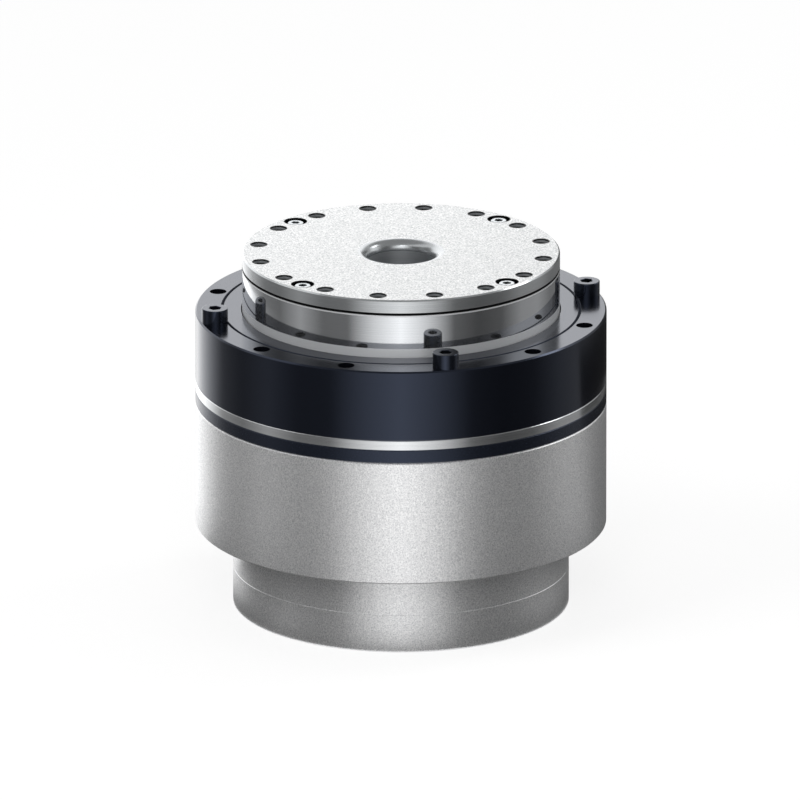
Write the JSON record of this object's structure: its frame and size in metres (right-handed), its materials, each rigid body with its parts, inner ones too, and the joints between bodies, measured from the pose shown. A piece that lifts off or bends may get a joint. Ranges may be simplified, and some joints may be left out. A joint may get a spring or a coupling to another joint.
{
  "type": "robot joint actuator",
  "caption": "Round hollow-shaft robot joint actuator with a motor, strain wave gear, crossed roller output bearing, holding brake and bolted output flange.",
  "frame": {"origin": "centre of the rear face, on the joint axis", "axes": "+Z along the joint axis out of the output flange, +X through one of the four black screws of the outer ring"},
  "size_m": [0.11, 0.11, 0.098],
  "materials": {
    "satin_aluminium": "fine bead-blasted, clear anodised",
    "polished_steel": "ground and polished",
    "spring_steel": "ground",
    "black_steel": "gloss black coating",
    "black_anodised": "black anodised",
    "gear_steel": "turned and ground",
    "bearing_steel": "ground",
    "black_oxide_screw": "black oxide",
    "zinc_screw": "zinc plated",
    "rubber": "moulded",
    "lamination": "stacked sheet, varnished",
    "copper_wire": "enamelled copper",
    "magnet": "nickel plated",
    "circuit_board": "solder mask",
    "chip_black": "moulded",
    "thermal_pad": "soft silicone",
    "connector_black": "moulded",
    "bush_plastic": "moulded",
    "friction_lining": "pressed and bonded",
    "contact_gold": "gold plated"
  },
  "bodies": {
    "housing": {"main_housing": "satin_aluminium", "rear_cover": "satin_aluminium", "motor_front_plate": "black_anodised", "bearing_outer_ring": "black_steel", "bearing_clamp_ring": "black_steel", "flexspline": "spring_steel", "output_seal": "rubber", "plate_sealing_ring": "rubber", "front_bearing_outer_race": "bearing_steel", "rear_bearing_outer_race": "bearing_steel", "stator_core": "lamination", "stator_coils": "copper_wire", "tube_bush": "bush_plastic", "encoder_board": "circuit_board", "encoder_sensors": "chip_black", "drive_board": "circuit_board", "board_standoffs": "zinc_screw", "board_screws": "zinc_screw", "drive_components": "chip_black", "thermal_pads": "thermal_pad", "power_connector": "connector_black", "signal_connector": "connector_black", "connector_pins": "contact_gold", "brake_end_plate": "gear_steel", "brake_magnet_body": "gear_steel", "brake_coil": "copper_wire", "brake_sleeves": "gear_steel", "brake_springs": "zinc_screw", "ring_screws": "black_oxide_screw", "rear_cover_screws": "black_oxide_screw", "brake_screws": "black_oxide_screw"},
    "output": {"output_flange": "satin_aluminium", "bearing_inner_ring": "polished_steel", "circular_spline": "gear_steel", "cable_tube": "satin_aluminium", "output_encoder_ring": "magnet", "flange_screws": "zinc_screw", "spline_screws": "black_oxide_screw"},
    "rotor": {"motor_shaft": "gear_steel", "rotor_hub": "gear_steel", "rotor_magnets": "magnet", "front_bearing_inner_race": "bearing_steel", "rear_bearing_inner_race": "bearing_steel", "wave_plug": "gear_steel", "wave_outer_race": "bearing_steel", "wave_inner_race": "bearing_steel", "wave_balls": "bearing_steel", "shaft_spacer": "gear_steel", "shaft_nut": "gear_steel", "motor_encoder_ring": "magnet", "brake_disc": "gear_steel", "brake_linings": "friction_lining"},
    "rollers": {"crossed_rollers": "bearing_steel"},
    "front_balls": {"front_bearing_balls": "bearing_steel", "front_bearing_cage": "bush_plastic"},
    "rear_balls": {"rear_bearing_balls": "bearing_steel", "rear_bearing_cage": "bush_plastic"},
    "armature": {"brake_armature": "gear_steel"}
  },
  "joints": [
    {"name": "output_rotation", "type": "hinge", "parent": "housing", "child": "output", "pos_m": [0, 0, 0.05], "axis": [0, 0, 1], "continuous": true},
    {"name": "rotor_spin", "type": "hinge", "parent": "housing", "child": "rotor", "pos_m": [0, 0, 0.05], "axis": [0, 0, 1], "continuous": true, "deforming": ["flexspline"]},
    {"name": "roller_orbit", "type": "hinge", "parent": "housing", "child": "rollers", "pos_m": [0, 0, 0.05], "axis": [0, 0, 1], "continuous": true},
    {"name": "front_ball_orbit", "type": "hinge", "parent": "housing", "child": "front_balls", "pos_m": [0, 0, 0.05], "axis": [0, 0, 1], "continuous": true},
    {"name": "rear_ball_orbit", "type": "hinge", "parent": "housing", "child": "rear_balls", "pos_m": [0, 0, 0.05], "axis": [0, 0, 1], "continuous": true},
    {"name": "brake_release", "type": "slide", "parent": "housing", "child": "armature", "axis": [0, 0, 1], "range_m": [0, 0.00025], "stiffness_N_per_m": 2000, "springref_m": -0.002, "deforming": ["brake_springs"]}
  ],
  "couplings": [
    {"joint": "rotor_spin", "follows": "output_rotation", "ratio": 51},
    {"joint": "roller_orbit", "follows": "output_rotation", "ratio": 0.4845},
    {"joint": "front_ball_orbit", "follows": "output_rotation", "ratio": 22.629},
    {"joint": "rear_ball_orbit", "follows": "output_rotation", "ratio": 22.629}
  ]
}
